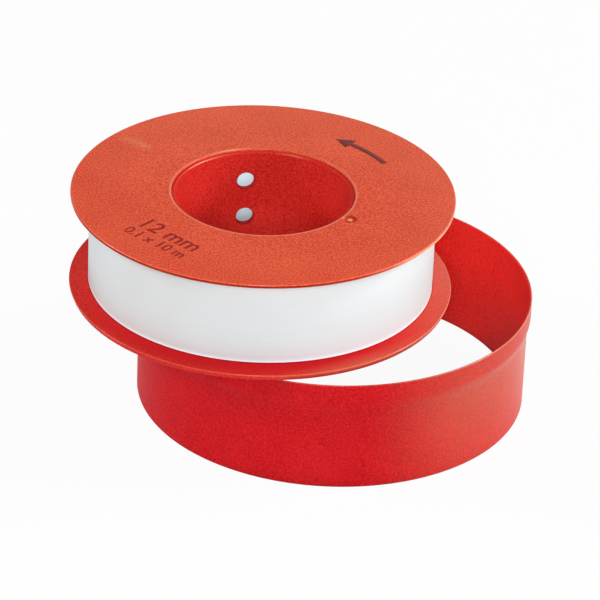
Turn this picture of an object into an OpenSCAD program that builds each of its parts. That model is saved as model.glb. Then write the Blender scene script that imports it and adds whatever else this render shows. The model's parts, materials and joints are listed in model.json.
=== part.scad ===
// Roll of thread seal tape: a flanged reel with the wound tape, lying on its taken-off cover ring.
// Millimetres, +Z up. The origin is under the middle of the whole, on the surface that it stands on.

/* [Tape] */
// Width of the tape
tape_w = 12; // [9:0.5:25]
// Thickness of the tape
tape_t = 0.1; // [0.05:0.01:0.3]
// Outside diameter of the wound tape, over the last turn
roll_d = 46.1; // [32:0.1:48]
// Angle left open between the start of the last turn and its free end
seam_angle = 8; // [4:1:30]
// Angle before the free end in which the tape lifts off the roll
tip_angle = 24; // [10:1:60]
// Height that the free end lifts
tip_lift = 0.7; // [0.2:0.1:2]

/* [Reel] */
// Diameter of the hole through the core
bore_d = 23.4; // [16:0.1:27]
// Thickness of the lower flange, which is moulded with the core
lower_flange_t = 1.2; // [0.8:0.05:2]
// Thickness of the upper flange
upper_flange_t = 0.8; // [0.7:0.05:2]
// Diameter of the upper flange
upper_flange_d = 51; // [49:0.1:60]
// Rounding of the flanges' rims
rim_r = 0.25; // [0.1:0.05:0.3]
// Bevel at the mouths of the bore and of the upper flange's hole
mouth_bevel = 0.2; // [0.1:0.05:0.25]
// Wall of the spigot on the core that carries the upper flange
spigot_wall = 0.5; // [0.4:0.05:0.8]
// Width of the seat round the spigot, which the core's wall is thicker by
seat_w = 0.25; // [0.2:0.05:1.5]
// Depth of the spigot's end below the upper flange's face
spigot_drop = 0.3; // [0.1:0.05:0.4]

/* [Core holes] */
// Diameter of the two holes through the core's wall
core_hole_d = 2.4; // [1.5:0.1:3]
// Distance between the two holes, one above the other
core_hole_pitch = 5.4; // [4:0.1:6]
// Direction of the holes, turned from +X
core_hole_turn = 99; // [0:1:359]
// How far the middle between the holes lies below the middle of the tape
core_hole_drop = 0.4; // [0:0.1:0.5]

/* [Gate mark] */
// Diameter of the shallow dish that the moulding gate left in the upper flange
gate_d = 1.8; // [1:0.1:2.2]
// Depth of the dish
gate_depth = 0.25; // [0.1:0.05:0.4]
// Diameter of the broken-off stub in the dish
gate_stub_d = 0.5; // [0.3:0.1:0.8]
// Height of the stub above the bottom of the dish
gate_stub_h = 0.2; // [0.1:0.05:0.4]
// Distance of the dish's middle from the edge of the upper flange's hole
gate_margin = 1.4; // [1.4:0.1:4]
// Direction of the gate mark, turned from +X
gate_turn = -34; // [-180:1:180]

/* [Cover ring] */
// Wall of the cover ring
ring_wall = 0.6; // [0.4:0.05:1]
// Height of the widened collar that takes the lower flange when the roll is closed
collar_h = 2.6; // [1.5:0.1:6]
// How far the lead-in taper inside the collar widens up to the rim
lead_w = 0.4; // [0.3:0.05:0.7]
// How far the lower flange reaches past the ring's inside, so that it stops in the taper
flange_hold = 0.05; // [0.05:0.05:0.2]
// Height of the slope between the body and the collar on the outside
collar_slope_h = 0.5; // [0.4:0.1:1.5]
// Bevel on the ring's upper and lower edges
ring_bevel = 0.12; // [0.05:0.01:0.16]

/* [Layout] */
// Distance from the ring's axis to the axis of the reel that lies on it
reel_shift = 10; // [0:0.1:12]
// Direction of the tape's free end, turned from +X
end_turn = 96; // [0:1:359]

/* [Clearances] */
// Gap all round between the upper flange and the cover ring when the roll is closed
ring_clear = 0.1; // [0.05:0.05:0.4]
// Gap between each side of the wound tape and its flange
side_clear = 0.1; // [0.05:0.05:0.4]
// Gap between the wound tape and the core
wind_clear = 0.02; // [0.01:0.01:0.1]
// Gap between the upper flange and the spigot
spigot_clear = 0.01; // [0.01:0.01:0.05]
// Gap between the last turn and the turns under it
turn_clear = 0.1; // [0.05:0.05:0.3]
// Gap between the reel and the cover ring that it lies on
rest_clear = 0.02; // [0.01:0.01:0.1]

/* [Hidden] */
$fn = 96;

// Colours as moulded and as wound
RED = [0.80, 0.16, 0.13];
ORANGE_RED = [0.85, 0.33, 0.24];
WHITE = [0.93, 0.93, 0.93];

// Reel, measured up from its underside
bore_r = bore_d / 2;
core_wall = spigot_wall + seat_w;
core_r = bore_r + core_wall;
spigot_r = bore_r + spigot_wall;
upper_flange_r = upper_flange_d / 2;
seat_z = lower_flange_t + tape_w + 2 * side_clear;
reel_h = seat_z + upper_flange_t;
spigot_top_z = reel_h - spigot_drop;
flange_hole_r = spigot_r + spigot_clear;
gate_r = flange_hole_r + gate_margin;
last_turn_r = roll_d / 2 - tape_t;
roll_r = last_turn_r - turn_clear;
tape_z = lower_flange_t + side_clear;
core_hole_mid_z = tape_z + tape_w / 2 - core_hole_drop;

// Cover ring: the upper flange passes its body, and the lower flange stops in the taper at the collar's foot
ring_in_r = upper_flange_r + ring_clear;
ring_out_r = ring_in_r + ring_wall;
lower_flange_r = ring_in_r + flange_hold;
collar_in_r = ring_in_r + lead_w;
collar_out_r = collar_in_r + ring_wall;
ring_body_h = reel_h - lower_flange_t;
ring_h = ring_body_h + collar_h;
hold_share = flange_hold / lead_w;
lead_z = (ring_body_h - hold_share * (ring_h - ring_bevel)) / (1 - hold_share);

// Places of the two axes, with the whole centred on the origin
left_reach = max(collar_out_r, reel_shift + lower_flange_r);
right_reach = max(collar_out_r, lower_flange_r - reel_shift);
ring_x = (left_reach - right_reach) / 2;
reel_x = ring_x - reel_shift;
reel_z = ring_h + rest_clear;

// Last turn of the tape, followed from its start to its free end
turn_angle = 360 - seam_angle;
turn_steps = 120;

// Inner radius of the last turn after a degrees: level on the roll, then a parabola up to the free end
function turn_r(a) = last_turn_r + tip_lift * pow(max(0, a - turn_angle + tip_angle) / tip_angle, 2);

// One face of the last turn seen from above, out from its inner face
function turn_line(out) = [
    for (i = [0 : turn_steps])
        let (a = turn_angle * i / turn_steps)
            (turn_r(a) + out) * [cos(a), sin(a)]
];

function reversed(list) = [for (i = [len(list) - 1 : -1 : 0]) list[i]];

echo(gap_between_ends_of_last_turn = norm(turn_line(0)[0] - turn_line(0)[turn_steps]));

// Half-section of a flat disc whose outer rim is rounded above and below
module disc_section(inner_r, outer_r, thick, edge_r) {
    translate([inner_r, 0]) square([outer_r - edge_r - inner_r, thick]);
    translate([inner_r, edge_r]) square([outer_r - inner_r, thick - 2 * edge_r]);
    for (z = [edge_r, thick - edge_r])
        translate([outer_r - edge_r, z]) circle(r = edge_r);
}

// Triangle that bevels the mouth of a round hole; side is 1 for an upper mouth and -1 for a lower one
module mouth_cut(hole_r, z, side) {
    b = mouth_bevel;
    translate([hole_r, z])
        polygon([[-b, side * b], [2 * b, side * b], [-b, -side * 2 * b]]);
}

// Half-section of the cover ring: body, slope and collar outside, a lead-in taper inside
module ring_section() {
    b = ring_bevel;
    polygon([
        [ring_in_r + b, 0],
        [ring_out_r - b, 0],
        [ring_out_r, b],
        [ring_out_r, ring_body_h - collar_slope_h],
        [collar_out_r, ring_body_h],
        [collar_out_r, ring_h - b],
        [collar_out_r - b, ring_h],
        [collar_in_r + b, ring_h],
        [collar_in_r, ring_h - b],
        [ring_in_r, lead_z],
        [ring_in_r, b],
    ]);
}

// Half-section of the core with its lower flange and its spigot
module core_section() {
    difference() {
        union() {
            disc_section(bore_r, lower_flange_r, lower_flange_t, rim_r);
            translate([bore_r, 0]) square([core_wall, seat_z]);
            translate([bore_r, 0]) square([spigot_wall, spigot_top_z]);
        }
        mouth_cut(bore_r, 0, -1);
        mouth_cut(bore_r, spigot_top_z, 1);
    }
}

// Half-section of the upper flange with its bevelled hole
module upper_flange_section() {
    difference() {
        disc_section(flange_hole_r, upper_flange_r, upper_flange_t, rim_r);
        mouth_cut(flange_hole_r, upper_flange_t, 1);
    }
}

// The two holes through one side of the core's wall, one above the other
module core_holes() {
    for (side = [-1, 1])
        rotate([0, 0, core_hole_turn])
            translate([bore_r - core_wall, 0, core_hole_mid_z + side * core_hole_pitch / 2])
                rotate([0, 90, 0]) cylinder(d = core_hole_d, h = 3 * core_wall);
}

// Shallow spherical dish below z = 0, less the stub that stands in it
module gate_dish() {
    dish_r = (pow(gate_d / 2, 2) + pow(gate_depth, 2)) / (2 * gate_depth);
    difference() {
        translate([0, 0, dish_r - gate_depth]) sphere(r = dish_r);
        translate([0, 0, -gate_depth]) cylinder(d = gate_stub_d, h = gate_stub_h);
    }
}

module on_ring() {
    translate([ring_x, 0, 0]) children();
}

module on_reel(z = 0) {
    translate([reel_x, 0, reel_z + z]) children();
}

module cover_ring() {
    color(RED) on_ring() rotate_extrude() ring_section();
}

module reel_core() {
    color(RED) on_reel() difference() {
        rotate_extrude() core_section();
        core_holes();
    }
}

module upper_flange() {
    color(ORANGE_RED) on_reel(seat_z) difference() {
        rotate_extrude() upper_flange_section();
        rotate([0, 0, gate_turn]) translate([gate_r, 0, upper_flange_t]) gate_dish();
    }
}

module tape_roll() {
    color(WHITE) on_reel(tape_z) rotate_extrude()
        translate([core_r + wind_clear, 0]) square([roll_r - core_r - wind_clear, tape_w]);
}

module last_turn() {
    color(WHITE) on_reel(tape_z) rotate([0, 0, end_turn + seam_angle])
        linear_extrude(tape_w) polygon(concat(turn_line(0), reversed(turn_line(tape_t))));
}

cover_ring();
reel_core();
upper_flange();
tape_roll();
last_turn();
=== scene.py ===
# Roll of thread seal tape lying on its taken-off cover ring: the visible pieces, round the packed solids.
import json
import math

import bmesh
import bpy
import numpy as np
from bpy.props import FloatProperty, FloatVectorProperty, PointerProperty, StringProperty
from mathutils import Matrix, Vector


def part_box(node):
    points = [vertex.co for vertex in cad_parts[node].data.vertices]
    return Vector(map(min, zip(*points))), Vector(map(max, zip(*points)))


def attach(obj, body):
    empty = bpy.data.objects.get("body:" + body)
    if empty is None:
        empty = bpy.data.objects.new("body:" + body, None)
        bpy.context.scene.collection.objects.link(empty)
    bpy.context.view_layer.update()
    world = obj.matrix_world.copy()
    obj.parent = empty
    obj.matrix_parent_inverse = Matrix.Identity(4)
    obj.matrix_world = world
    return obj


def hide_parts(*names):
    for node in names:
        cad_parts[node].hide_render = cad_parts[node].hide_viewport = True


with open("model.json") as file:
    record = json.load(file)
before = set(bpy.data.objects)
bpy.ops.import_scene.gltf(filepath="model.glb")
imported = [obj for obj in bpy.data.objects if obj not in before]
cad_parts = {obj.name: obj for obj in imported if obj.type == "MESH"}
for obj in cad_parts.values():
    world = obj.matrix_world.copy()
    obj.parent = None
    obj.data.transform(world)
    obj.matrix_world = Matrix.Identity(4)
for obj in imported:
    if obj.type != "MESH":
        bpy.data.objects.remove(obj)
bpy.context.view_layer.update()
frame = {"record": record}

bl_info = {
    "name": "Thread seal tape roll",
    "version": (1, 0, 0),
    "blender": (4, 5, 0),
    "location": "3D View > Sidebar > Tape roll",
    "description": "Makes the reel, its tape and its cover ring round the packed solids",
    "category": "Object",
}

# Places and reaches of the packed solids; the last three values are counted from the reel's foot
RING_LOW, RING_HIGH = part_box("cover_ring")
REEL_LOW, REEL_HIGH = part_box("reel_core")
DISC_LOW, DISC_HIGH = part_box("upper_flange")
ROLL_LOW, ROLL_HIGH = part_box("tape_roll")
BORE = next(mount for mount in frame["record"]["mounts"] if mount["name"] == "reel_bore")
BORE_RADIUS = BORE["dims"]["r_mm"] / 1000
RING_FOOT = np.array([(RING_LOW.x + RING_HIGH.x) / 2, 0.0, RING_LOW.z])
REEL_FOOT = np.array([BORE["pos_m"][0], BORE["pos_m"][1], REEL_LOW.z])
TAPE_LOW, TAPE_HIGH = ROLL_LOW.z - REEL_FOOT[2], ROLL_HIGH.z - REEL_FOOT[2]
DISC_TOP = DISC_HIGH.z - REEL_FOOT[2]

# Fineness of the meshes: steps round a full turn, steps in a rounded corner, and the merging distance
TURN_STEPS = 288
TURN_STEP = 2 * np.pi / TURN_STEPS
CORNER_STEPS = 6
MERGE = 1e-6

# Rounding where a flange starts to thin out towards its rim
FLANGE_SOFT = 0.002
# Side that gets a painted sheen and more coat: where its mark starts and where it is full, along X
SHEEN_SIDE = (0.007, 0.023)


def length(label, text, default):
    """A size in metres for the sidebar."""
    return FloatProperty(name=label, description=text, default=default, min=0.0, precision=5, unit="LENGTH")


def angle(label, text, degrees):
    """An angle for the sidebar, kept in radians."""
    return FloatProperty(name=label, description=text, default=math.radians(degrees), subtype="ANGLE")


def power(label, text, watts):
    """The power of a lamp for the sidebar."""
    return FloatProperty(name=label, description=text, default=watts, min=0.0, unit="POWER")


def colour(label, text, default):
    """A linear colour for the sidebar."""
    return FloatVectorProperty(
        name=label, description=text, default=default, min=0.0, max=1.0, subtype="COLOR",
    )


class RingSizes(bpy.types.PropertyGroup):
    """Sizes of the cover ring."""

    collar_radius: length("Collar radius", "Outer radius of the collar", (RING_HIGH.x - RING_LOW.x) / 2)
    height: length("Height", "Height of the ring", RING_HIGH.z - RING_LOW.z)
    wall: length("Wall", "Wall of the body and of the collar", 0.0006)
    lead: length("Lead-in", "How far the inside widens up to the rim", 0.0004)
    lead_height: length("Lead-in height", "Height of the taper below the rim", 0.007)
    rim: length("Rim", "Thickness of the rim", 0.00025)
    draft: length("Draft", "How much the wall thickens inwards down to the foot", 0.0008)
    collar_height: length("Collar height", "Height of the collar on the outside", 0.0026)
    slope: length("Slope", "Height of the slope that leads out to the collar", 0.0014)
    edge: length("Edge rounding", "Rounding of the rim and of the foot", 0.00022)
    wave: length("Wave", "How far the thin wall strays from a true circle", 0.00002)


class ReelSizes(bpy.types.PropertyGroup):
    """Sizes of the core with its lower flange."""

    bore: length("Bore", "Radius of the hole through the core", BORE_RADIUS)
    core_wall: length("Core wall", "Wall of the core tube", 0.00075)
    flange_radius: length("Flange radius", "Radius of the lower flange", (REEL_HIGH.x - REEL_LOW.x) / 2)
    flange_thick: length("Flange thickness", "Thickness of the lower flange", 0.0012)
    rim_thick: length("Rim thickness", "Thickness of the lower flange at its rim", 0.0008)
    slope_start: length("Slope start", "Radius from which the flange thins out", 0.0231)
    undercut: length("Undercut", "How far the rim's lower edge stands back", 0.0003)
    seat: length("Seat", "Height of the seat that carries the upper flange", DISC_LOW.z - REEL_LOW.z)
    top: length("Spigot top", "Height of the spigot's end", REEL_HIGH.z - REEL_LOW.z)
    spigot_wall: length("Spigot wall", "Wall of the spigot", 0.0005)
    rim: length("Rim rounding", "Rounding of the flange's rim", 0.00025)
    mouth: length("Mouth rounding", "Rounding of the bore's two mouths", 0.0002)
    hole: length("Hole diameter", "Diameter of the two holes through the core's wall", 0.0024)
    hole_pitch: length("Hole pitch", "Distance between the two holes", 0.0054)
    hole_turn: angle("Hole direction", "Direction of the holes, turned from +X", 99)
    hole_drop: length("Hole drop", "How far the holes' middle lies below the tape's", 0.0004)


class DiscSizes(bpy.types.PropertyGroup):
    """Sizes of the upper flange."""

    radius: length("Radius", "Radius of the disc", (DISC_HIGH.x - DISC_LOW.x) / 2 + 0.00008)
    thick: length("Thickness", "Thickness of the disc", DISC_HIGH.z - DISC_LOW.z)
    hole: length("Hole radius", "Radius of the hole that fits over the spigot", 0.01221)
    rim: length("Rim rounding", "Rounding of the rim", 0.00025)
    mouth: length("Mouth rounding", "Rounding of the hole's upper edge", 0.0002)
    # The strip round the hole is a painted highlight
    painted_highlight: length("Rubbed strip", "Width of the rubbed strip round the hole", 0.0002)
    rim_lift: length("Rim lift", "How far the rim's lower edge lies above the underside", 0.0003)
    slope_start: length("Slope start", "Radius from which the underside rises to the rim", 0.0231)
    undercut: length("Undercut", "How far the rim's lower edge stands back", 0.00005)
    warp: length("Warp", "How far the thin rim strays up and down", 0.00003)
    droop: length("Droop", "How far the rim hangs below the middle", 0.00008)
    gate: length("Gate diameter", "Diameter of the dish that the moulding gate left", 0.0019)
    gate_depth: length("Gate depth", "Depth of the dish", 0.00032)
    stub: length("Stub diameter", "Diameter of the broken-off stub in the dish", 0.00075)
    stub_height: length("Stub height", "Height of the stub above the bottom of the dish", 0.0003)
    gate_radius: length("Gate radius", "Distance of the gate mark from the reel's axis", 0.01346)
    gate_turn: angle("Gate direction", "Direction of the gate mark, turned from +X", -34.5)


class TapeSizes(bpy.types.PropertyGroup):
    """Sizes of the wound tape and its last turn."""

    roll_radius: length("Roll radius", "Radius under the last turn", (ROLL_HIGH.x - ROLL_LOW.x) / 2)
    core_radius: length("Core radius", "Radius of the innermost turn", 0.01247)
    thick: length("Thickness", "Thickness of the film", 0.0001)
    turn_radius: length("Last turn", "Inner radius of the last turn", 0.02295)
    ridge: length("Ridge pitch", "Distance between the ridges of the roll's two sides", 0.0008)
    ridge_depth: length("Ridge depth", "Depth of those ridges", 0.00004)
    bulge: length("Bulge", "How far the innermost turn bulges into the core's holes", 0.0003)
    lift: length("Lift", "How far the free end stands off the roll", 0.0007)
    end_turn: angle("Free end", "Direction of the free end, turned from +X", 96)
    seam: angle("Seam", "Angle left open between the free end and the start of the last turn", 8)
    tip: angle("Tip", "Angle in which the free end lifts", 24)
    emerge: angle("Rise", "Angle in which the last turn rises out of the roll", 70)


class PrintSizes(bpy.types.PropertyGroup):
    """Generic size figures and the arrow printed on the upper flange."""

    width_text: StringProperty(name="Width", description="Width of the tape in figures", default="12 mm")
    length_text: StringProperty(name="Length", description="Thickness and length", default="0.1 x 10 m")
    width_height: length("Width figures", "Height of the larger figures", 0.0026)
    length_height: length("Length figures", "Height of the smaller figures", 0.0017)
    width_radius: length("Larger line", "Distance of the larger line's foot from the axis", 0.0189)
    length_radius: length("Smaller line", "Distance of the smaller line's foot from the axis", 0.0213)
    figures_turn: angle("Figures", "Direction of the figures, turned from +X", -135)
    arrow_radius: length("Arrow radius", "Distance of the arrow from the axis", 0.0186)
    arrow_width: length("Arrow width", "Width of the arrow's shaft", 0.0008)
    arrow_start: angle("Arrow start", "Direction of the arrow's tail, turned from +X", 27)
    arrow_end: angle("Arrow end", "Direction of the arrow's point, turned from +X", 56)
    film: length("Ink", "Thickness of the ink above the plastic", 0.00001)


class Colours(bpy.types.PropertyGroup):
    """Tones of each finish."""

    ring_deep: colour("Ring, deep", "Darker tone of the cover ring", (0.44, 0.004, 0.008))
    ring_pale: colour("Ring, pale", "Paler tone of the cover ring", (0.71, 0.020, 0.026))
    # Painted light: a paler tone on the ring's inside
    ring_lit: colour("Ring, lit", "Tone of the ring's inside, where light comes in", (0.81, 0.052, 0.040))
    reel_deep: colour("Reel, deep", "Darker tone of the core and lower flange", (0.55, 0.012, 0.009))
    reel_pale: colour("Reel, pale", "Paler tone of the core and lower flange", (0.78, 0.046, 0.035))
    # Painted shade: a deeper red on the lower flange's front
    reel_shade: colour("Reel, face", "Pure tone of the lower flange's front", (0.71, 0.004, 0.014))
    # Painted light: a paler tone low in the bore
    reel_lit: colour("Reel, lit", "Tone of the core where the tape shines through", (0.93, 0.065, 0.05))
    # The upper flange's tones are paler and more orange than the reel's: partly its own colour, partly a
    # painted sheen of its top
    disc_deep: colour("Upper flange, deep", "Darker tone of the upper flange", (0.59, 0.034, 0.010))
    disc_pale: colour("Upper flange, pale", "Paler tone of the upper flange", (0.92, 0.135, 0.053))
    # Paler tone of edges and of the tone mark: partly wear, partly painted highlights
    scuff_and_highlight: colour("Worn edges", "Tone of the polished edges", (0.95, 0.42, 0.24))
    # Painted sheen on the +X side of the plastic
    painted_sheen: colour("Haze", "Tone of the rubbed side that the hand holds", (0.72, 0.46, 0.18))
    streak: colour("Streak", "Flow streak in the upper flange", (0.85, 0.36, 0.13))
    tape_dull: colour("Tape, dull", "Darker tone of the film", (0.69, 0.717, 0.72))
    tape_clear: colour("Tape, clear", "Paler tone of the film", (0.76, 0.825, 0.835))
    # Painted light: the film's paler lower edge, the innermost turns' cooler tone, and the two glows
    tape_edge: colour("Tape, edge", "Tone of the film's lower edge", (0.80, 1.0, 1.0))
    tape_inner: colour("Tape, inner", "Tone of the innermost turns", (0.50, 0.80, 0.84))
    inner_glow: colour("Inner glow", "Light through the innermost turns", (0.25, 0.29, 0.36))
    edge_glow: colour("Edge glow", "Light through the film's lower edge", (0.27, 0.33, 0.40))
    ink: colour("Ink", "Printed figures", (0.27, 0.010, 0.012))
    ink_worn: colour("Ink, worn", "Thinly printed spots", (0.45, 0.030, 0.018))
    ink_dense: colour("Ink, dense", "The arrow, which is printed more densely", (0.19, 0.042, 0.036))
    floor: colour("Floor", "Floor under the object", (0.90, 0.90, 0.90))


class StageSizes(bpy.types.PropertyGroup):
    """Camera and light."""

    azimuth: angle("Azimuth", "Direction that the camera looks in, turned from +Y to +X", 3.632)
    elevation: angle("Elevation", "Height of the camera above the horizon", 29.3)
    roll: angle("Roll", "Turn of the camera about its own line of sight", 2.453)
    distance: length("Distance", "Distance from the camera to the point it looks at", 0.55237)
    aim_height: length("Aim height", "Height of the point that the camera looks at", 0.0133)
    lens: FloatProperty(name="Lens", description="Focal length in mm", default=246.39, min=1.0)
    ambient: FloatProperty(name="Ambient", description="Light from all round", default=0.06, min=0.0)
    key: power("Key", "Power of the lamp on the right", 7.8)
    low: power("Low", "Power of the low lamp on the right", 3.1)
    fill: power("Fill", "Power of the lamp on the left", 5.5)
    front: power("Front", "Power of the front lamp", 8.5)
    back: power("Back", "Power of the back lamp", 1.0)


# Shapes

def rounded_outline(corners, closed=True):
    """Outline with rounded corners, as (points, edge); a corner is (radius, height, rounding, polish).

    Each arc is a conic with the corner as its control point and the cosine of half the turn as its weight.
    It starts the rounding times the tangent of half the turn before the corner, and ends as far after it, so
    it is a circle's arc. An open outline keeps its first and last points as they are. The edge mark rises to
    the corner's polish in the middle of its arc.
    """
    corners, rounding, polish = np.split(np.asarray(corners, float), [2, 3], axis=1)
    before = corners - np.roll(corners, 1, axis=0)
    before /= np.linalg.norm(before, axis=1, keepdims=True)
    after = np.roll(before, -1, axis=0)
    half_turn = np.arccos(np.clip((before * after).sum(axis=1, keepdims=True), -1.0, 1.0)) / 2
    reach = rounding * np.tan(half_turn)
    t = np.linspace(0.0, 1.0, CORNER_STEPS + 1)[None, :, None]
    shares = [(1 - t) ** 2, 2 * t * (1 - t) * np.cos(half_turn)[:, None], t ** 2]
    controls = [corners - before * reach, corners, corners + after * reach]
    points = sum(share * control[:, None] for share, control in zip(shares, controls)) / sum(shares)
    edge = polish * np.sin(np.pi * t[..., 0])
    if closed:
        return points.reshape(-1, 2), edge.reshape(-1)
    points = np.concatenate([corners[:1], points[1:-1].reshape(-1, 2), corners[-1:]])
    return points, np.concatenate([[0.0], edge[1:-1].reshape(-1), [0.0]])


def arc_rows(corner):
    """Rows of an open outline that belong to the arc of one corner."""
    step = CORNER_STEPS + 1
    return slice(1 + (corner - 1) * step, 1 + corner * step)


def all_turns(start=0.0):
    """Angles of the lines round a full turn, from start."""
    return start + np.arange(TURN_STEPS) * TURN_STEP


def around(foot, turn, out, height, aside=0.0):
    """Points round the upright axis through foot.

    From foot, a point lies out times the turn's cosine and sine, aside times its minus sine and cosine, and
    up by its height.
    """
    cosine, sine = np.cos(turn), np.sin(turn)
    spot = np.broadcast_arrays(out * cosine - aside * sine, out * sine + aside * cosine, height)
    return foot + np.stack(spot, axis=-1)


def carried_round(outline, foot, turns):
    """Outline points (radius, height) carried round the upright axis through foot."""
    return around(foot, turns, outline[:, :1], outline[:, 1:])


def quads(points, wrap_rows=False, wrap_columns=False, keep=None):
    """Faces of a grid; a wrapped direction joins its last line to its first, and keep drops some."""
    rows, columns = points.shape[:2]
    row, column = np.meshgrid(
        np.arange(rows if wrap_rows else rows - 1),
        np.arange(columns if wrap_columns else columns - 1),
        indexing="ij",
    )
    row_after, column_after = (row + 1) % rows, (column + 1) % columns
    faces = np.stack([
        row * columns + column,
        row * columns + column_after,
        row_after * columns + column_after,
        row_after * columns + column,
    ], axis=-1)
    return faces.reshape(-1, 4) if keep is None else faces[keep]


def grid(points, edge=0.0, wear=0.0, held=0.0, **joins):
    """One grid of a piece: its points, the edge, tone and sheen marks of each point, and its faces."""
    marks = np.stack([np.broadcast_to(mark, points.shape[:2]) for mark in (edge, wear, held)], axis=-1)
    return points.reshape(-1, 3), marks.reshape(-1, 3), quads(points, **joins)


def smooth_step(share):
    """0 up to 0 and 1 from 1 on, with a soft rise: three times the square less twice the cube."""
    share = np.clip(share, 0.0, 1.0)
    return share * share * (3 - 2 * share)


def sheen_side(points):
    """Mark of the side that gets a painted sheen and more coat: a smooth step along X, from a little past
    the middle.
    """
    start, full = SHEEN_SIDE
    return smooth_step((points[..., 0] - start) / (full - start))


def window_rim(across, up):
    """Points once round a window of grid lines: along its first line, up, back and down again."""
    ones_across, ones_up = np.ones(len(across) - 1), np.ones(len(up) - 1)
    first = np.concatenate([across[:-1], across[-1] * ones_up, across[:0:-1], across[0] * ones_up])
    second = np.concatenate([up[0] * ones_across, up[:-1], up[-1] * ones_across, up[:0:-1]])
    return first, second


def in_scene(name, data):
    """A new object with its data, linked to the scene."""
    thing = bpy.data.objects.new(name, data)
    bpy.context.scene.collection.objects.link(thing)
    return thing


def new_piece(name, grids, finish):
    """One object from several grids: numbered end to end, shared borders merged, faces turned outwards."""
    sizes = [len(points) for points, _, _ in grids]
    starts = np.cumsum([0] + sizes[:-1])
    faces = np.concatenate([part[2] + start for part, start in zip(grids, starts)])
    mesh = bpy.data.meshes.new(name)
    mesh.from_pydata(np.concatenate([part[0] for part in grids]).tolist(), [], faces.tolist())
    marks = np.concatenate([part[1] for part in grids]).astype(np.float32)
    for label, values in zip(("edge", "wear", "held"), marks.T):
        mesh.attributes.new(label, "FLOAT", "POINT").data.foreach_set("value", values.copy())
    body = bmesh.new()
    body.from_mesh(mesh)
    bmesh.ops.remove_doubles(body, verts=body.verts, dist=MERGE)
    bmesh.ops.recalc_face_normals(body, faces=body.faces)
    body.to_mesh(mesh)
    body.free()
    mesh.shade_smooth()
    mesh.materials.append(finish)
    piece = in_scene(name, mesh)
    piece.modifiers.new("even_shading", "WEIGHTED_NORMAL")
    return piece


def polar(points):
    """Reach from the reel's axis and direction of each point."""
    along, across = (points[..., :2] - REEL_FOOT[:2]).T
    return np.hypot(along, across).T, np.arctan2(across, along).T


def turned_from(turn, middle):
    """Angle from middle to turn, within half a turn either way."""
    return np.angle(np.exp(1j * (turn - middle)))


def arcs(turn, bells):
    """Marks that come and go round an edge: a sum of bells, each given by its turn, width and height."""
    total = np.zeros_like(turn)
    for middle, width, height in bells:
        away = np.degrees(turned_from(turn, math.radians(middle)))
        total += height * np.exp(-(away / width) ** 2)
    return total


def hole_heights(reel):
    """Heights of the middles of the core's two holes above the reel's foot."""
    middle = (reel.flange_thick + reel.seat) / 2 - reel.hole_drop
    return [middle - reel.hole_pitch / 2, middle + reel.hole_pitch / 2]


def disc_bend(sizes, points):
    """Bend of the upper flange: a droop and a wave of two and three crests, by the squared reach."""
    reach, turn = polar(points)
    share = np.clip((reach - sizes.hole) / (sizes.radius - sizes.hole), 0.0, 1.0) ** 2
    wave = (np.cos(2 * turn + 1.1) + 0.6 * np.cos(3 * turn + 0.4)) / 1.6
    return share * (sizes.warp * wave - sizes.droop)


# Finishes

class Wire:
    """A shader socket that Python expressions can use: each operation adds one Math node."""

    def __init__(self, tree, socket):
        self.tree = tree
        self.socket = socket

    def math(self, operation, *values):
        node = self.tree.nodes.new("ShaderNodeMath")
        node.operation = operation
        plug(self.tree, node, dict(enumerate(values)))
        return Wire(self.tree, node.outputs[0])

    def __add__(self, other):
        return self.math("ADD", self, other)

    def __sub__(self, other):
        return self.math("SUBTRACT", self, other)

    def __rsub__(self, other):
        return self.math("SUBTRACT", other, self)

    def __mul__(self, other):
        return self.math("MULTIPLY", self, other)

    def __truediv__(self, other):
        return self.math("DIVIDE", self, other)

    def __rtruediv__(self, other):
        return self.math("DIVIDE", other, self)

    def __abs__(self):
        return self.math("ABSOLUTE", self)

    def at_least(self, other):
        return self.math("MAXIMUM", self, other)

    def clamped(self):
        return self.math("MINIMUM", self.at_least(0.0), 1.0)

    def ramp(self, start, full):
        """0 at start and before it, 1 at full and past it, and even between; full may lie below start."""
        return ((self - start) / (full - start)).clamped()

    __radd__ = __add__
    __rmul__ = __mul__


def plug(tree, node, inputs):
    """Links or sets the sockets of a node, which are named or numbered."""
    for key, value in inputs.items():
        if isinstance(value, Wire):
            tree.links.new(value.socket, node.inputs[key])
        else:
            node.inputs[key].default_value = value


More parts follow.
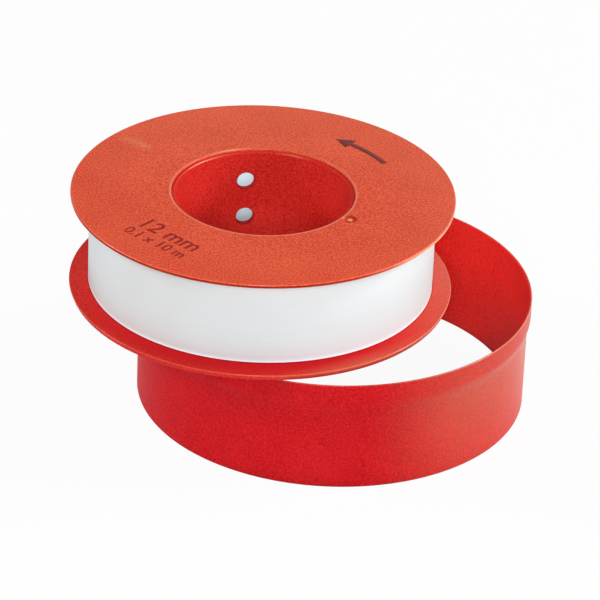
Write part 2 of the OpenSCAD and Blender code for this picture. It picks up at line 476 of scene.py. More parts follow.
class Finish:
    """A material, or the world, whose nodes are added one by one."""

    def __init__(self, owner):
        self.owner = owner
        owner.use_nodes = True
        self.tree = owner.node_tree
        self.tree.nodes.clear()

    def node(self, kind, settings=None, inputs=None, out=0):
        """One node: its settings are set first, then its sockets; gives one of its outputs."""
        node = self.tree.nodes.new(kind)
        for key, value in (settings or {}).items():
            setattr(node, key, value)
        plug(self.tree, node, inputs or {})
        return Wire(self.tree, node.outputs[out]) if node.outputs else None

    def place(self, moved=(0.0, 0.0, 0.0), scale=(1.0, 1.0, 1.0)):
        """Object coordinates, moved and then stretched."""
        spot = self.node("ShaderNodeTexCoord", out="Object")
        for operation, change in (("SUBTRACT", moved), ("MULTIPLY", scale)):
            spot = self.node("ShaderNodeVectorMath", {"operation": operation}, {0: spot, 1: tuple(change)})
        return spot

    def reach(self, foot):
        """Distance from the upright axis through foot, and height above foot."""
        spots = [self.place(foot, scale) for scale in ((1.0, 1.0, 0.0), (0.0, 0.0, 1.0))]
        measure = {"operation": "LENGTH"}
        return [self.node("ShaderNodeVectorMath", measure, {0: spot}, out="Value") for spot in spots]

    def along(self, foot, turn):
        """Distance from foot along a level direction."""
        inputs = {0: self.place(foot), 1: (math.cos(turn), math.sin(turn), 0.0)}
        return self.node("ShaderNodeVectorMath", {"operation": "DOT_PRODUCT"}, inputs, out="Value")

    def marks(self, *labels):
        """Marks that the mesh carries at its points."""
        return [self.node("ShaderNodeAttribute", {"attribute_name": label}, out="Fac") for label in labels]

    def noise(self, spot, scale, detail=2.0):
        """Noise about zero, from -0.5 to 0.5."""
        inputs = {"Vector": spot, "Scale": scale, "Detail": detail}
        return self.node("ShaderNodeTexNoise", {}, inputs) - 0.5

    def blend(self, share, first, second):
        """Colour mixed from two colours or links."""
        pair = [tint if isinstance(tint, Wire) else (*tint, 1.0) for tint in (first, second)]
        inputs = {0: share, 6: pair[0], 7: pair[1]}
        return self.node("ShaderNodeMix", {"data_type": "RGBA"}, inputs, out=2)

    def bump(self, height, distance, strength):
        """Normal tilted by a height."""
        inputs = {"Height": height, "Distance": distance, "Strength": strength}
        return self.node("ShaderNodeBump", {}, inputs)

    def plain_surface(self, inputs):
        """Ends the material in one Principled shader."""
        shader = self.node("ShaderNodeBsdfPrincipled", {}, inputs)
        self.node("ShaderNodeOutputMaterial", {}, {"Surface": shader})
        return self.owner


# Scales of the plastic's grain and of its slow drift of pigment
GRAIN_SCALE = 3900.0
DRIFT_SCALE = 130.0
# Depth in a wall over which the tone of one side ends
SKIN = 0.0001
# Places of the tones, as where each starts and where it is full: heights of the painted light in the bore,
# reaches of the painted shade on the lower flange from inside, from outside and to the front, and reaches
# of the streak from inside and from outside
BORE_LIGHT = (0.006, 0.001)
FACE_INNER, FACE_OUTER, FACE_FRONT = (0.0135, 0.0140), (0.0253, 0.0242), (0.0, 0.020)
STREAK_INNER, STREAK_OUTER = (0.0187, 0.0199), (0.0244, 0.0228)
STREAK_TURN = math.radians(141)
STREAK_HALF = 0.0013
# Middle of the ring's wall, which bounds the painted light on its inside, and the height from which it
# leans out, with its slope there
RING_MIDDLE = 0.0259
RING_LEAN_START, RING_LEAN = 0.0086, 0.08
# Reach of the tape's innermost turns, and the heights between which the painted glow in them grows
INNER_TURNS = (0.0129, 0.0126)
INNER_LIGHT = (0.002, 0.010)


def moulded_plastic(name, deep, pale, colours, glow, gloss, patches):
    """Moulded plastic: fine eroded grain, slow pigment drift, polished edges, and painted highlights and
    shade.

    The tone is half way between deep and pale, plus the grain and the drift, each with its share. patches
    are further tones as (mask, colour): mask takes the finish and gives a share, which the tone varies.
    The sheen mark mixes in a painted sheen. The edge and tone marks, the edge most on the sheen side, mix
    in a paler tone, partly edge wear and partly painted highlight. The edge and sheen marks bring the
    polish, above that of the whole piece, gloss. An edge mark below zero paints shade along the edge.
    glow is the share and the depth of the light that goes through the plastic.
    """
    finish = Finish(bpy.data.materials.new(name))
    spot = finish.place()
    grain = finish.noise(spot, GRAIN_SCALE, 3.0)
    drift = finish.noise(spot, DRIFT_SCALE, 3.0)
    edge, wear, held = finish.marks("edge", "wear", "held")
    tone = (grain * 2.8 + drift * 0.5 + 0.5).clamped()
    tint = finish.blend(tone, deep, pale)
    for mask, patch in patches:
        tint = finish.blend((mask(finish) * (tone + 0.5)).clamped(), tint, patch)
    # Painted sheen where the sheen mark lies
    tint = finish.blend((held * 0.12).clamped(), tint, colours.painted_sheen)
    # Paler tone on edges and where the tone mark lies: partly edge wear, partly painted highlight
    tint = finish.blend((edge * 0.15 + edge * held * 0.6 + wear * 0.7).clamped(), tint, colours.scuff_and_highlight)
    # Painted shade along edges whose mark is below zero, in a darker copy of the deep tone
    painted_shade = [share * part for share, part in zip((0.5, 0.25, 0.3), deep)]
    tint = finish.blend((edge * -0.8).clamped(), tint, painted_shade)
    return finish.plain_surface({
        "Base Color": tint,
        "Roughness": grain * 0.25 + edge * -0.1 + 0.5,
        "Normal": finish.bump(grain, 0.00004, 0.5),
        "Specular IOR Level": 0.04,
        "Coat Weight": (edge * 0.5 + held * 0.42 + gloss).clamped(),
        "Coat Roughness": 0.18,
        "Subsurface Weight": glow[0],
        "Subsurface Radius": (1.0, 0.06, 0.05),
        "Subsurface Scale": glow[1],
    })


def lit_bore(finish):
    """Mask of painted light on the lower inside of the core, full towards the bottom of the bore."""
    radius, height = finish.reach(REEL_FOOT)
    return radius.ramp(BORE_RADIUS + 2 * SKIN, BORE_RADIUS + SKIN) * height.ramp(*BORE_LIGHT) * 0.8


def shaded_face(finish):
    """Mask of painted shade on the lower flange's front: between the core's wall and the rim, and more
    towards -Y.
    """
    radius, _ = finish.reach(REEL_FOOT)
    front = finish.along(REEL_FOOT, -math.pi / 2)
    return radius.ramp(*FACE_INNER) * radius.ramp(*FACE_OUTER) * front.ramp(*FACE_FRONT) * 0.7


def lit_inside(finish):
    """Mask of painted light on the ring's inside: nearer to the axis than a line that leans out above the
    lead-in's start.
    """
    radius, height = finish.reach(RING_FOOT)
    middle = (height - RING_LEAN_START).at_least(0.0) * RING_LEAN + RING_MIDDLE
    return (middle - radius).ramp(0.0, SKIN) * 0.6


def flow_streak(finish):
    """Mask of a pale flow streak: near one radius line, between two distances, and patchy."""
    along, across = (finish.along(REEL_FOOT, turn) for turn in (STREAK_TURN, STREAK_TURN + math.pi / 2))
    patchy = finish.noise(finish.place(), 900.0) * 1.2 + 0.6
    band = (1 - abs(across) / STREAK_HALF).clamped()
    span = along.ramp(*STREAK_INNER) * along.ramp(*STREAK_OUTER)
    return (band * span * patchy).clamped() * 0.5


def tape_film(colours):
    """Soft white film: faint lines along the tape, faint rings on the roll's sides, and a slow drift.

    The tone mark paints shade on one part of the film and light on another, and the edge mark paints
    light on its lower edge, as a paler tone and a glow. The innermost turns get a cooler tone and a
    painted glow, more the higher they lie: both painted light.
    """
    finish = Finish(bpy.data.materials.new("seal_tape_film"))
    lines = finish.noise(finish.place(scale=(1.0, 1.0, 40.0)), 60.0, 3.0)
    radius, height = finish.reach(REEL_FOOT)
    edge, wear = finish.marks("edge", "wear")
    edge = edge.clamped()
    by_radius = {"W": radius, "Scale": 9000.0}
    rings = finish.node("ShaderNodeTexNoise", {"noise_dimensions": "1D"}, by_radius) - 0.5
    drift = finish.noise(finish.place(), 45.0)
    tone = lines * 0.5 + rings * 0.5 + drift * 0.5 + 0.6 - wear
    tint = finish.blend(tone.clamped(), colours.tape_dull, colours.tape_clear)
    tint = finish.blend(edge, tint, colours.tape_edge)
    inner = radius.ramp(*INNER_TURNS)
    through = finish.blend(inner * height.ramp(*INNER_LIGHT), (0.0, 0.0, 0.0), colours.inner_glow)
    return finish.plain_surface({
        "Base Color": finish.blend(inner, tint, colours.tape_inner),
        "Roughness": lines * 0.15 + 0.48,
        "Normal": finish.bump(lines + rings, 0.00003, 0.3),
        "Specular IOR Level": 0.3,
        "Emission Color": finish.blend(edge, through, colours.edge_glow),
        "Emission Strength": 1.0,
    })


def pad_ink(colours):
    """Pad-printed ink: thin spots where the plastic shows through, and a denser print by the tone mark."""
    finish = Finish(bpy.data.materials.new("pad_printed_ink"))
    thin = (finish.noise(finish.place(), 1500.0, 3.0) * 2.2 + 0.35).clamped()
    dense, = finish.marks("wear")
    tint = finish.blend(thin, colours.ink, colours.ink_worn)
    return finish.plain_surface({
        "Base Color": finish.blend(dense * (1 - thin * 0.3), tint, colours.ink_dense),
        "Roughness": thin * 0.1 + 0.5,
        "Specular IOR Level": 0.08,
    })


def dress(piece, body, node):
    """Puts a piece in the place of its solid: it rides the body and replaces the node."""
    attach(piece, body)
    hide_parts(node)


# Pieces

class TAPEROLL_OT_cover_ring(bpy.types.Operator):
    """Makes the cover ring: its section carried round, with a slow wave in its thin wall"""

    bl_idname = "taperoll.cover_ring"
    bl_label = "Cover ring"

    # Share of the sheen mark, a painted sheen and more coat, on the rows of each corner of the section
    SHEEN_ROWS = np.array([0.0, 0.5, 1.2, 0.75, 0.75, 0.0, 0.0])

    def execute(self, context):
        sizes, colours = context.scene.taperoll_ring, context.scene.taperoll_colours
        body_out = sizes.collar_radius - sizes.lead
        body_in = body_out - sizes.wall
        body_top = sizes.height - sizes.collar_height
        # The corners' polish gives more coat and a paler tone: partly edge wear, partly a painted highlight,
        # most on the sheen side
        outline, edge = rounded_outline([
            (body_in - sizes.draft, 0.0, sizes.edge, 0.2),
            (body_out, 0.0, sizes.edge, 0.2),
            (body_out, body_top - sizes.slope, 10 * sizes.edge, 0.0),
            (sizes.collar_radius, body_top, 10 * sizes.edge, 0.0),
            (sizes.collar_radius, sizes.height, sizes.edge / 2, 0.9),
            (sizes.collar_radius - sizes.rim, sizes.height, sizes.edge / 2, 0.9),
            (body_in, sizes.height - sizes.lead_height, 100 * sizes.edge, 0.0),
        ])
        turns = all_turns()
        points = carried_round(outline, RING_FOOT, turns)
        wave = sizes.wave * (np.cos(2 * turns + 0.7) + 0.5 * np.cos(5 * turns + 2.1)) / 1.5
        points += around(0.0, turns, wave, 0.0)
        # The ring's inside gets painted light
        finish = moulded_plastic(
            "ring_plastic_red", colours.ring_deep, colours.ring_pale, colours, (0.8, 0.003), 0.0,
            [(lit_inside, colours.ring_lit)],
        )
        corner = np.arange(len(outline))[:, None] // (CORNER_STEPS + 1)
        held = sheen_side(points) * self.SHEEN_ROWS[corner]
        grids = [grid(points, edge[:, None], held=held, wrap_rows=True, wrap_columns=True)]
        dress(new_piece("ring_band", grids, finish), "ring", "cover_ring")
        return {"FINISHED"}


class TAPEROLL_OT_reel(bpy.types.Operator):
    """Makes the core with its lower flange: an outline carried round, and a wall pierced by two holes"""

    bl_idname = "taperoll.reel"
    bl_label = "Core and lower flange"

    # Lines from the middle of a hole to the side of its window, rings from the window's rim to the hole, and
    # the wall left below and above the two windows
    HALF_WINDOW = 9
    RINGS = 7
    MARGIN = 0.0003

    def execute(self, context):
        sizes, colours = context.scene.taperoll_reel, context.scene.taperoll_colours
        core = sizes.bore + sizes.core_wall
        spigot = sizes.bore + sizes.spigot_wall
        steps = 2 * self.HALF_WINDOW
        turns = all_turns(sizes.hole_turn - self.HALF_WINDOW * TURN_STEP)
        across = turns[:steps + 1]
        half = sizes.bore * (across[-1] - sizes.hole_turn)
        centres = hole_heights(sizes)
        windows = [np.linspace(z - half, z + half, steps + 1) for z in centres]
        low, high = windows[0][0] - self.MARGIN, windows[1][-1] + self.MARGIN
        rows = np.concatenate([[low], *windows, [high]])

        # Polish of each corner: above zero a paler tone and more coat, partly wear and partly painted
        # highlight; below zero painted shade, under the rim, beside the tape and at the core's foot
        foot, foot_edge = rounded_outline([
            (sizes.bore, low, 0.0, 0.0),
            (sizes.bore, 0.0, sizes.mouth, 0.4),
            (sizes.flange_radius - sizes.undercut, 0.0, sizes.rim / 2, -0.8),
            (sizes.flange_radius, sizes.rim_thick, sizes.rim / 2, 0.8),
            (sizes.slope_start, sizes.flange_thick, FLANGE_SOFT, -0.6),
            (core, sizes.flange_thick, sizes.rim, -0.5),
            (core, low, 0.0, 0.0),
        ], closed=False)
        head, head_edge = rounded_outline([
            (core, high, 0.0, 0.0),
            (core, sizes.seat, sizes.mouth / 2, 0.0),
            (spigot, sizes.seat, sizes.mouth / 2, 0.0),
            (spigot, sizes.top, sizes.mouth / 2, 0.2),
            (sizes.bore, sizes.top, sizes.mouth, 1.0),
            (sizes.bore, high, 0.0, 0.0),
        ], closed=False)
        face = slice(arc_rows(4).start - 1, arc_rows(4).stop)
        foot_edge, head_edge = foot_edge[:, None] * np.ones_like(turns), head_edge[:, None]
        # Painted shade on the flange's top, most towards the front
        foot_edge[face] = np.minimum(foot_edge[face], arcs(turns, [(-90, 42, -0.42)]))
        # Painted highlight on the rim's upper edge towards the front-right
        foot_highlight = np.zeros_like(foot_edge)
        foot_highlight[arc_rows(3)] = arcs(turns, [(-62, 22, 0.4)])
        foot, head = (carried_round(outline, REEL_FOOT, turns) for outline in (foot, head))
        # Painted highlights at the spigot's mouth: arcs at the back, in a paler tone and more coat
        mouth_highlight = 0.03 + arcs(turns, [(132, 15, 0.9), (67, 8, 0.6)])
        grids = [
            grid(foot, foot_edge, foot_highlight, sheen_side(foot), wrap_columns=True),
            grid(head, head_edge * mouth_highlight, 0.6 * head_edge * mouth_highlight, wrap_columns=True),
        ]
        keep = np.ones((len(rows) - 1, TURN_STEPS), bool)
        for first in (1, steps + 2):
            keep[first:first + steps, :steps] = False
        for radius in (sizes.bore, core):
            wall = around(REEL_FOOT, turns, radius, rows[:, None])
            grids.append(grid(wall, wrap_columns=True, keep=keep))
        for centre, window in zip(centres, windows):
            grids += self.hole(sizes, across, window, centre, core)
        # Painted light low in the bore, and painted shade on the lower flange's front
        finish = moulded_plastic(
            "reel_plastic_red", colours.reel_deep, colours.reel_pale, colours, (0.3, 0.0008), 0.0,
            [(lit_bore, colours.reel_lit), (shaded_face, colours.reel_shade)],
        )
        dress(new_piece("reel_body", grids, finish), "spool", "reel_core")
        return {"FINISHED"}

    def hole(self, sizes, across, window, centre, core):
        """Grids of one hole: from the window's rim to a circle in each wall, and the lining between them.

        A point of the hole lies at a radius and a direction round the hole's own axis, which is level. On a
        wall of given radius its turn is the arcsine of its level offset over that radius.
        """
        turn, height = window_rim(across, window)
        direction = np.arctan2(height - centre, sizes.bore * (turn - sizes.hole_turn))
        hole_radius, soft = sizes.hole / 2, 0.75 * sizes.mouth

        def ring_at(radius, wall_radius):
            level = np.arcsin(radius * np.cos(direction) / wall_radius)
            return sizes.hole_turn + level, centre + radius * np.sin(direction)

        share = np.linspace(0.0, 1.0, self.RINGS)[:, None]
        grids = []
        for wall_radius, radius in ((sizes.bore, hole_radius + soft), (core, hole_radius)):
            ring_turn, ring_height = ring_at(radius, wall_radius)
            turns, heights = turn + share * (ring_turn - turn), height + share * (ring_height - height)
            grids.append(grid(around(REEL_FOOT, turns, wall_radius, heights), wrap_columns=True))
        bend = np.linspace(0.0, np.pi / 2, CORNER_STEPS)[:, None]
        radii = np.concatenate([hole_radius + soft * (1 - np.sin(bend)), [[hole_radius]]])
        walls = np.concatenate([sizes.bore + soft * (1 - np.cos(bend)), [[core]]])
        # Painted shade round the hole's lining: an edge mark below zero
        marks = np.concatenate([-np.sin(2 * bend), [[-0.5]]])
        ring_turn, ring_height = ring_at(radii, walls)
        grids.append(grid(around(REEL_FOOT, ring_turn, walls, ring_height), marks, wrap_columns=True))
        return grids


class TAPEROLL_OT_upper_flange(bpy.types.Operator):
    """Makes the upper flange: an outline carried round, and a dished gate mark set into its top"""

    bl_idname = "taperoll.upper_flange"
    bl_label = "Upper flange"

    # Lines from the middle of the gate mark to the side of its window, and rings from the window's rim to it
    HALF_WINDOW = 6
    RINGS = 6
    # Directions of the dish's wall and of the stub's side that get painted shade
    DIRTY_WALL, DIRTY_SIDE = math.radians(55), math.radians(-100)

    def execute(self, context):
        sizes, colours = context.scene.taperoll_disc, context.scene.taperoll_colours
        foot = REEL_FOOT + np.array([0.0, 0.0, DISC_LOW.z - REEL_FOOT[2]])
        steps = 2 * self.HALF_WINDOW
        turns = all_turns(sizes.gate_turn - self.HALF_WINDOW * TURN_STEP)
        middle = sizes.gate_radius
        half = min(self.HALF_WINDOW * TURN_STEP * middle, middle - sizes.hole - sizes.mouth * 1.2)
        lines = np.linspace(middle - half, middle + half, steps + 1)
        outline, edge = rounded_outline([
            (lines[0], sizes.thick, 0.0, 0.0),
            (sizes.hole, sizes.thick, sizes.mouth, 0.4),
            (sizes.hole, 0.0, sizes.mouth / 2, 0.0),
            (sizes.slope_start, 0.0, FLANGE_SOFT, 0.0),
            (sizes.radius - sizes.undercut, sizes.rim_lift, sizes.rim / 2, -1.0),
            (sizes.radius, sizes.thick, 0.8 * sizes.rim, 0.8),
            (lines[-1], sizes.thick, 0.0, 0.0),
        ], closed=False)
        top = around(foot, turns, lines[:, None], sizes.thick)
        keep = np.ones((steps, TURN_STEPS), bool)
        keep[:, :steps] = False
        rim = carried_round(outline, foot, turns)
        # The rim's side gets painted shade all round, except a painted highlight towards the front-right
        face = slice(arc_rows(4).start, arc_rows(5).start + 2)
        rim_highlight = arcs(turns, [(-30, 22, 1.0)])
        edge, wear = edge[:, None] * np.ones_like(turns), np.zeros(rim.shape[:2])
        edge[face], wear[face] = 1.6 * rim_highlight - 1.0, 1.3 * rim_highlight
        # The +X side gets a quarter of the painted sheen
        grids = [
            grid(rim, edge, wear, 0.25 * sheen_side(rim), wrap_columns=True),
            grid(top, held=0.25 * sheen_side(top), wrap_columns=True, keep=keep),
            self.gate_mark(sizes, foot, turns[:steps + 1], lines),
        ]
        # Painted highlights and sheen of the top join the tone mark, and every grid is bent
        for points, marks, _ in grids:
            marks[:, 1] = np.maximum(marks[:, 1], self.painted_highlight(sizes, foot, points))
            points[:, 2] += disc_bend(sizes, points)
        finish = moulded_plastic(
            "upper_flange_plastic", colours.disc_deep, colours.disc_pale, colours, (0.3, 0.0008), 0.15,
            [(flow_streak, colours.streak)],
        )
        dress(new_piece("top_disc", grids, finish), "spool", "upper_flange")
        return {"FINISHED"}

    def gate_mark(self, sizes, foot, across, lines):
        """Grid of the gate mark: from the window's rim to a circle, down the dish and over the stub's top.

        Points are given by the distance and direction from the mark's middle, on the flange's top, and by a
        height below the top, which the dish's outline gives for each distance. The stub's top has a painted
        highlight, most in its middle. The foot of its side and the dish's wall have painted shade, by the
        cosine of the direction.
        """
        turn, radius = window_rim(across, lines)
        out = radius * np.cos(turn - sizes.gate_turn) - sizes.gate_radius
        aside = radius * np.sin(turn - sizes.gate_turn)
        direction = np.arctan2(aside, out)
        dish, stub = sizes.gate / 2, sizes.stub / 2
        stub_top = sizes.stub_height - sizes.gate_depth
        outline, edge = rounded_outline([
            (1.05 * dish, 0.0, 0.0, 0.0),
            (dish, 0.0, 0.00004, 0.3),
            (0.8 * dish, -0.9 * sizes.gate_depth, 0.0001, 0.0),
            (stub, -sizes.gate_depth, 0.00004, -0.8),
            (stub, stub_top, 0.00015, 0.4),
            (0.0, stub_top, 0.0, 0.0),
        ], closed=False)
        reach, height = outline.T
        nub = (reach < 1.01 * stub) & (height > stub_top - 0.5 * sizes.stub_height)
        side = (reach < 1.12 * stub) & (reach > 0.9 * stub) & ~nub
        wall = (reach < 1.01 * dish) & (reach > 0.75 * dish)
        scuff_and_highlight = nub * (0.9 - 0.5 * (reach / stub) ** 2)
        level = np.zeros(self.RINGS - 1)
        height, edge, scuff_and_highlight, wall, side = (
            np.concatenate([level, values])[:, None] for values in (height, edge, scuff_and_highlight, wall, side)
        )
        wall, side = (
            mark * np.clip(1.3 * np.cos(direction + sizes.gate_turn - middle), 0.0, 1.0)
            for mark, middle in ((wall, self.DIRTY_WALL), (side, self.DIRTY_SIDE))
        )
        circle = np.stack([np.cos(direction), np.sin(direction)], axis=-1)
        share = np.linspace(0.0, 1.0, self.RINGS)[:-1, None, None]
        rim = np.stack([out, aside], axis=-1)
        flat = rim + share * (outline[0, 0] * circle - rim)
        out, aside = np.moveaxis(np.concatenate([flat, reach[:, None, None] * circle]), -1, 0)
        points = around(foot, sizes.gate_turn, sizes.gate_radius + out, sizes.thick + height, aside)
        return grid(points, edge - 0.85 * wall - 0.9 * side, scuff_and_highlight, wrap_columns=True)

    def painted_highlight(self, sizes, foot, points):
        """Painted highlights of the top: a strip round the hole, most in front and in one arc, and a little
        painted sheen towards the back.

        The strip is full at the hole's upper edge and gone one strip's width further out.
        """
        reach, turn = polar(points)
        near = np.clip(1.0 - (reach - sizes.hole - sizes.mouth) / sizes.painted_highlight, 0.0, 1.0)
        high = np.clip(1.0 + (points[:, 2] - foot[2] - sizes.thick) / sizes.mouth, 0.0, 1.0)
        line = near * high * (0.5 - 0.5 * np.sin(turn) + arcs(turn, [(110, 12, 0.9)]))
        return np.maximum(line, 0.09 * high * np.clip(points[:, 1] / 0.022, 0.0, 1.0))


class TAPEROLL_OT_wound_tape(bpy.types.Operator):
    """Makes the roll under the last turn, with spiral ridges on its two sides, and the last turn itself"""

    bl_idname = "taperoll.wound_tape"
    bl_label = "Wound tape"

    # Steps in a ridge, down the roll's inside, across the last turn and along it
    RIDGE_STEPS = 6
    INSIDE_STEPS = 42
    ACROSS_STEPS = 22
    TURN_STATIONS = 480
    # Slant and fray of the cut end, angle in which the film thickens, height of the tip's ripple, gap
    # between the last turn's start and the roll, and share of the width that is the lower edge with painted
    # light
    SLANT, FRAY, THICKENING = np.radians([0.7, 0.12, 5.0])
    RIPPLE = 0.00006
    START_GAP = 0.000004
    PALE_EDGE = 0.03

    def execute(self, context):
        sizes, colours = context.scene.taperoll_tape, context.scene.taperoll_colours
        finish = tape_film(colours)
        roll = [self.roll(sizes, context.scene.taperoll_reel)]
        dress(new_piece("wound_roll", roll, finish), "spool", "tape_roll")
        dress(new_piece("outer_turn", self.last_turn(sizes), finish), "tape_end", "last_turn")
        return {"FINISHED"}

    def roll(self, sizes, reel):
        """Grid of the roll: a rectangle carried round, whose two sides sink in spiral ridges.

        A side sinks by the ridge depth times a raised cosine of radius over pitch less the part of a turn,
        so that each ridge moves out by one pitch in a turn. The innermost turn bulges into the core's two
        holes by one less the squared distance from the hole's axis over the bulge's reach.
        """
        turns = all_turns()
        steps = int(self.RIDGE_STEPS * (sizes.roll_radius - sizes.core_radius) / sizes.ridge)
        radii = np.linspace(sizes.core_radius, sizes.roll_radius, steps)
        inside = np.linspace(TAPE_HIGH, TAPE_LOW, self.INSIDE_STEPS)[1:-1]
        phase = radii[:, None] / sizes.ridge - turns / (2 * np.pi)
        sink = sizes.ridge_depth * (0.5 - 0.5 * np.cos(2 * np.pi * phase))
        outline = np.concatenate([
            np.stack([radii, np.full(steps, TAPE_LOW)], axis=-1),
            np.stack([radii[::-1], np.full(steps, TAPE_HIGH)], axis=-1),
            np.stack([np.full_like(inside, sizes.core_radius), inside], axis=-1),
        ])
        points = carried_round(outline, REEL_FOOT, turns)
        points[:steps, :, 2] += sink
        points[steps:2 * steps, :, 2] -= sink[::-1]
        bulge = sizes.bulge * sum(self.bulge(reel, turns, inside, centre) for centre in hole_heights(reel))
        points[2 * steps:] -= around(0.0, turns, bulge, 0.0)
        return grid(points, wrap_rows=True, wrap_columns=True)

    def bulge(self, reel, turns, heights, centre):
        """Share of the bulge into the hole at one height, for each height and turn."""
        aside = reel.bore * turned_from(turns, reel.hole_turn)
        away = np.hypot(aside, heights[:, None] - centre)
        return np.clip(1.0 - (2.1 * away / reel.hole) ** 2, 0.0, 1.0)

    def last_turn(self, sizes):
        """Grids of the last turn: a thin strip along a spiral, with a lifted free end.

        Its inner face starts on the roll and rises to the last turn's radius by a smooth step. Over the tip
        it lifts with the square of the way, and its edge ripples there. The film thickens from nothing at
        its start, where it comes out of the roll, and its cut end is a little slanted. The lines along it
        lie closer at its two edges, by a cosine. Its lower edge gets painted light, and it gets painted
        shade towards the front-left and painted light towards the front-right.
        """
        way = np.linspace(0.0, 1.0, self.TURN_STATIONS)[:, None]
        width = 0.5 - 0.5 * np.cos(np.linspace(0.0, np.pi, self.ACROSS_STEPS))[None, :]
        full = 2 * np.pi - sizes.seam
        slant = self.SLANT * (width - 0.5) + self.FRAY * np.sin(2 * np.pi * 2.5 * width)
        along = way * (full + slant)
        rise = smooth_step(along / sizes.emerge)
        tip = np.clip((along - full + sizes.tip) / sizes.tip, 0.0, 1.1)
        ripple = self.RIPPLE * tip * np.sin(2 * np.pi * (1.5 * width + 0.1)) * np.sin(9.0 * tip)
        start = sizes.roll_radius + self.START_GAP
        inner = start + (sizes.turn_radius - start) * rise + sizes.lift * tip ** 2 + ripple
        film = sizes.thick * np.clip(along / self.THICKENING, 0.02, 1.0)
        turn = sizes.end_turn + sizes.seam + along
        height = TAPE_LOW + (TAPE_HIGH - TAPE_LOW) * width
        inside, outside = (around(REEL_FOOT, turn, radius, height) for radius in (inner, inner + film))
        loop = np.concatenate([outside, inside[:, ::-1]], axis=1)
        # Painted light on the lower edge: a paler tone and a glow
        pale = np.clip(1.0 - width / self.PALE_EDGE, 0.0, 1.0)
        pale = np.concatenate([pale, pale[:, ::-1]], axis=1)
        # Painted shade towards the front-left, and painted light towards the front-right
        painted_shading = np.tile(arcs(turn, [(-130, 16, 0.75), (-38, 24, -0.4)]), 2)
        ends = [np.stack([outside[end], inside[end]]) for end in (0, -1)]
        return [grid(loop, pale, painted_shading, wrap_columns=True)] + [grid(end) for end in ends]


class TAPEROLL_OT_size_print(bpy.types.Operator):
    """Prints generic size figures and an arrow for the winding direction on the upper flange"""

    bl_idname = "taperoll.size_print"
    bl_label = "Printed figures"

    # Height of a figure over the size of its type, and how much its strokes are thickened, over its height
    FIGURE_SHARE = 0.7
    STROKE = 0.012
    # Steps along the arrow, the part of its way that is shaft, and half the head's width over the shaft's
    ARROW_STEPS = 40
    SHAFT = 0.74
    HEAD_HALF = 1.6

    def execute(self, context):
        sizes, colours = context.scene.taperoll_print, context.scene.taperoll_colours
        finish = pad_ink(colours)
        disc = context.scene.taperoll_disc
        lines = [
            ("width_figures", sizes.width_text, sizes.width_height, sizes.width_radius),
            ("length_figures", sizes.length_text, sizes.length_height, sizes.length_radius),
        ]
        for line in lines:
            self.figures(*line, sizes, disc, finish)
        grids = self.arrow(sizes)
        for points, _, _ in grids:
            points[:, 2] += disc_bend(disc, points)
        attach(new_piece("winding_arrow", grids, finish), "spool")
        return {"FINISHED"}

    def figures(self, name, text, height, radius, sizes, disc, finish):
        """A line of figures as a thin mesh: its foot on a tangent of the disc, its head pointing inwards."""
        letters = bpy.data.curves.new(name + "_letters", "FONT")
        letters.body = text
        letters.align_x = "CENTER"
        letters.size = height / self.FIGURE_SHARE
        letters.extrude = sizes.film
        letters.offset = height * self.STROKE
        holder = in_scene(name + "_letters", letters)
        bpy.context.view_layer.update()
        shown = holder.evaluated_get(bpy.context.evaluated_depsgraph_get())
        mesh = bpy.data.meshes.new_from_object(shown)
        bpy.data.objects.remove(holder)
        flat = np.empty(3 * len(mesh.vertices), np.float32)
        mesh.vertices.foreach_get("co", flat)
        along, up, out = flat.reshape(-1, 3).astype(float).T
        placed = around(REEL_FOOT, sizes.figures_turn, radius - up, DISC_TOP + out, along)
        placed[:, 2] += disc_bend(disc, placed)
        mesh.vertices.foreach_set("co", placed.astype(np.float32).ravel())
        mesh.update()
        mesh.name = name
        mesh.materials.clear()
        mesh.materials.append(finish)
        piece = in_scene(name, mesh)
        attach(piece, "spool")

    def arrow(self, sizes):
        """Grids of a flat arrow: a thin rectangle carried along an arc, with a wider, pointed head."""
        shaft = np.linspace(0.0, self.SHAFT, self.ARROW_STEPS)
        head = np.linspace(self.SHAFT, 1.0, self.ARROW_STEPS // 3)
        way = np.concatenate([shaft, head])[:, None]
        taper = self.HEAD_HALF * (1.0 - head) / (1.0 - self.SHAFT)
        half = np.concatenate([np.full(len(shaft), 0.5), taper])[:, None]
        turn = sizes.arrow_start + way * (sizes.arrow_end - sizes.arrow_start)
        side, level = np.array([[-1.0, 1.0, 1.0, -1.0]]), np.array([[-1.0, -1.0, 1.0, 1.0]])
        radius = sizes.arrow_radius + side * half * sizes.arrow_width
        points = around(REEL_FOOT, turn, radius, DISC_TOP + sizes.film * level)
        tail = points[0].reshape(2, 2, 3)
        tail[1] = tail[1, ::-1].copy()
        return [grid(points, wear=1.0, wrap_columns=True), grid(tail, wear=1.0)]


# Stage

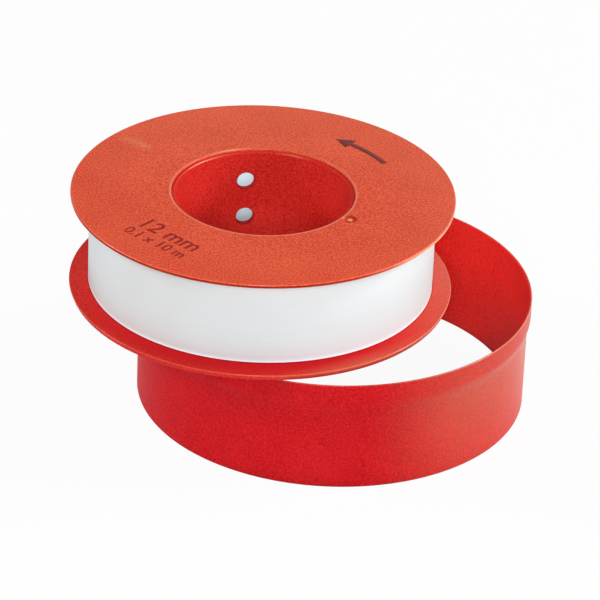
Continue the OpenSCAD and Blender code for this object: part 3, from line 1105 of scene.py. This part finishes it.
class TAPEROLL_OT_stage(bpy.types.Operator):
    """Makes the pale floor, the soft light all round, five lamps and the camera"""

    bl_idname = "taperoll.stage"
    bl_label = "Stage"

    FLOOR_REACH = 4.0
    SEEN_WHITE = 0.94
    WHITE = (1.0, 1.0, 1.0, 1.0)
    # Each lamp's name, the size that holds its power, its width, and the direction in which it stands
    LAMPS = (
        ("lamp_right", "key", 0.4, (0.86, 0.12, 0.50)),
        ("lamp_left", "fill", 0.4, (-0.87, 0.12, 0.47)),
        ("lamp_low", "low", 0.4, (0.9, -0.25, 0.3)),
        ("lamp_front", "front", 0.3, (-0.055, -0.873, 0.484)),
        ("lamp_back", "back", 0.5, (0.66, 0.66, 0.36)),
    )
    LAMP_DISTANCE = 1.2

    def execute(self, context):
        sizes, colours = context.scene.taperoll_stage, context.scene.taperoll_colours
        context.scene.view_settings.view_transform = "Standard"
        self.floor(colours)
        self.surround(context, sizes)
        aim = Vector((0.0, 0.0, sizes.aim_height))
        for name, key, width, direction in self.LAMPS:
            self.lamp(name, getattr(sizes, key), width, aim, Vector(direction).normalized())
        self.camera(context, sizes, aim)
        return {"FINISHED"}

    def seen(self, finish):
        """1 for what the camera sees straight or in a gloss or through glass, and 0 for other light."""
        names = ("Is Camera Ray", "Is Glossy Ray", "Is Transmission Ray")
        camera, glossy, through = (finish.node("ShaderNodeLightPath", out=name) for name in names)
        return (camera + glossy + through).clamped()

    def floor(self, colours):
        reach = self.FLOOR_REACH
        mesh = bpy.data.meshes.new("floor")
        corners = [(-reach, -reach, 0.0), (reach, -reach, 0.0), (reach, reach, 0.0), (-reach, reach, 0.0)]
        mesh.from_pydata(corners, [], [(0, 1, 2, 3)])
        finish = Finish(bpy.data.materials.new("studio_floor"))
        tone = finish.noise(finish.place(), 3.0)
        tint = finish.blend((tone + 0.5).clamped(), colours.floor, [1.02 * part for part in colours.floor])
        matte = finish.node("ShaderNodeBsdfDiffuse", {}, {"Color": tint})
        white = finish.node("ShaderNodeEmission", {}, {"Color": self.WHITE, "Strength": 1.0})
        share = self.seen(finish) * self.SEEN_WHITE
        mixed = finish.node("ShaderNodeMixShader", {}, {0: share, 1: matte, 2: white})
        finish.node("ShaderNodeOutputMaterial", {}, {"Surface": mixed})
        mesh.materials.append(finish.owner)
        floor = in_scene("floor", mesh)

    def surround(self, context, sizes):
        context.scene.world = bpy.data.worlds.new("light_tent")
        finish = Finish(context.scene.world)
        strength = sizes.ambient + self.seen(finish) * (1.0 - sizes.ambient)
        light = finish.node("ShaderNodeBackground", {}, {"Color": self.WHITE, "Strength": strength})
        finish.node("ShaderNodeOutputWorld", {}, {"Surface": light})

    def lamp(self, name, watts, width, aim, away):
        """A square lamp, which stands in one direction from aim and shines at it."""
        light = bpy.data.lights.new(name, "AREA")
        light.shape = "SQUARE"
        light.size = width
        light.energy = watts
        lamp = in_scene(name, light)
        turned = away.to_track_quat("Z", "Y").to_matrix().to_4x4()
        lamp.matrix_world = Matrix.Translation(aim + away * self.LAMP_DISTANCE) @ turned
        lamp.visible_camera = False

    def camera(self, context, sizes, aim):
        """The camera looks along its azimuth and down its elevation, and is rolled about that line."""
        level = math.cos(sizes.elevation)
        ahead = Vector((
            math.sin(sizes.azimuth) * level,
            math.cos(sizes.azimuth) * level,
            -math.sin(sizes.elevation),
        ))
        right = Vector((math.cos(sizes.azimuth), -math.sin(sizes.azimuth), 0.0))
        up = right.cross(ahead)
        across = math.cos(sizes.roll) * right + math.sin(sizes.roll) * up
        upward = math.cos(sizes.roll) * up - math.sin(sizes.roll) * right
        data = bpy.data.cameras.new("camera")
        data.lens = sizes.lens
        data.sensor_width = 36.0
        camera = in_scene("camera", data)
        turned = Matrix((across, upward, -ahead)).transposed().to_4x4()
        camera.matrix_world = Matrix.Translation(aim - ahead * sizes.distance) @ turned
        context.scene.camera = camera


class TAPEROLL_PT_sidebar(bpy.types.Panel):
    """Lists the pieces and their sizes"""

    bl_idname = "TAPEROLL_PT_sidebar"
    bl_label = "Tape roll"
    bl_space_type = "VIEW_3D"
    bl_region_type = "UI"
    bl_category = "Tape roll"

    def draw(self, context):
        for operator in OPERATORS:
            self.layout.operator(operator.bl_idname)
        for key, group in GROUPS.items():
            box = self.layout.box()
            box.label(text=group.__doc__)
            for name in group.__annotations__:
                box.prop(getattr(context.scene, key), name)


GROUPS = {
    "taperoll_ring": RingSizes,
    "taperoll_reel": ReelSizes,
    "taperoll_disc": DiscSizes,
    "taperoll_tape": TapeSizes,
    "taperoll_print": PrintSizes,
    "taperoll_colours": Colours,
    "taperoll_stage": StageSizes,
}
OPERATORS = (
    TAPEROLL_OT_stage,
    TAPEROLL_OT_cover_ring,
    TAPEROLL_OT_reel,
    TAPEROLL_OT_upper_flange,
    TAPEROLL_OT_wound_tape,
    TAPEROLL_OT_size_print,
)


def register():
    for key, group in GROUPS.items():
        bpy.utils.register_class(group)
        setattr(bpy.types.Scene, key, PointerProperty(type=group))
    for operator in OPERATORS:
        bpy.utils.register_class(operator)
    bpy.utils.register_class(TAPEROLL_PT_sidebar)


def unregister():
    bpy.utils.unregister_class(TAPEROLL_PT_sidebar)
    for operator in reversed(OPERATORS):
        bpy.utils.unregister_class(operator)
    for key, group in reversed(GROUPS.items()):
        delattr(bpy.types.Scene, key)
        bpy.utils.unregister_class(group)


def main():
    """Registers the classes, and makes the stage and the pieces in order."""
    register()
    bpy.ops.taperoll.stage()
    bpy.ops.taperoll.cover_ring()
    bpy.ops.taperoll.reel()
    bpy.ops.taperoll.upper_flange()
    bpy.ops.taperoll.wound_tape()
    bpy.ops.taperoll.size_print()


if __name__ == "__main__":
    main()
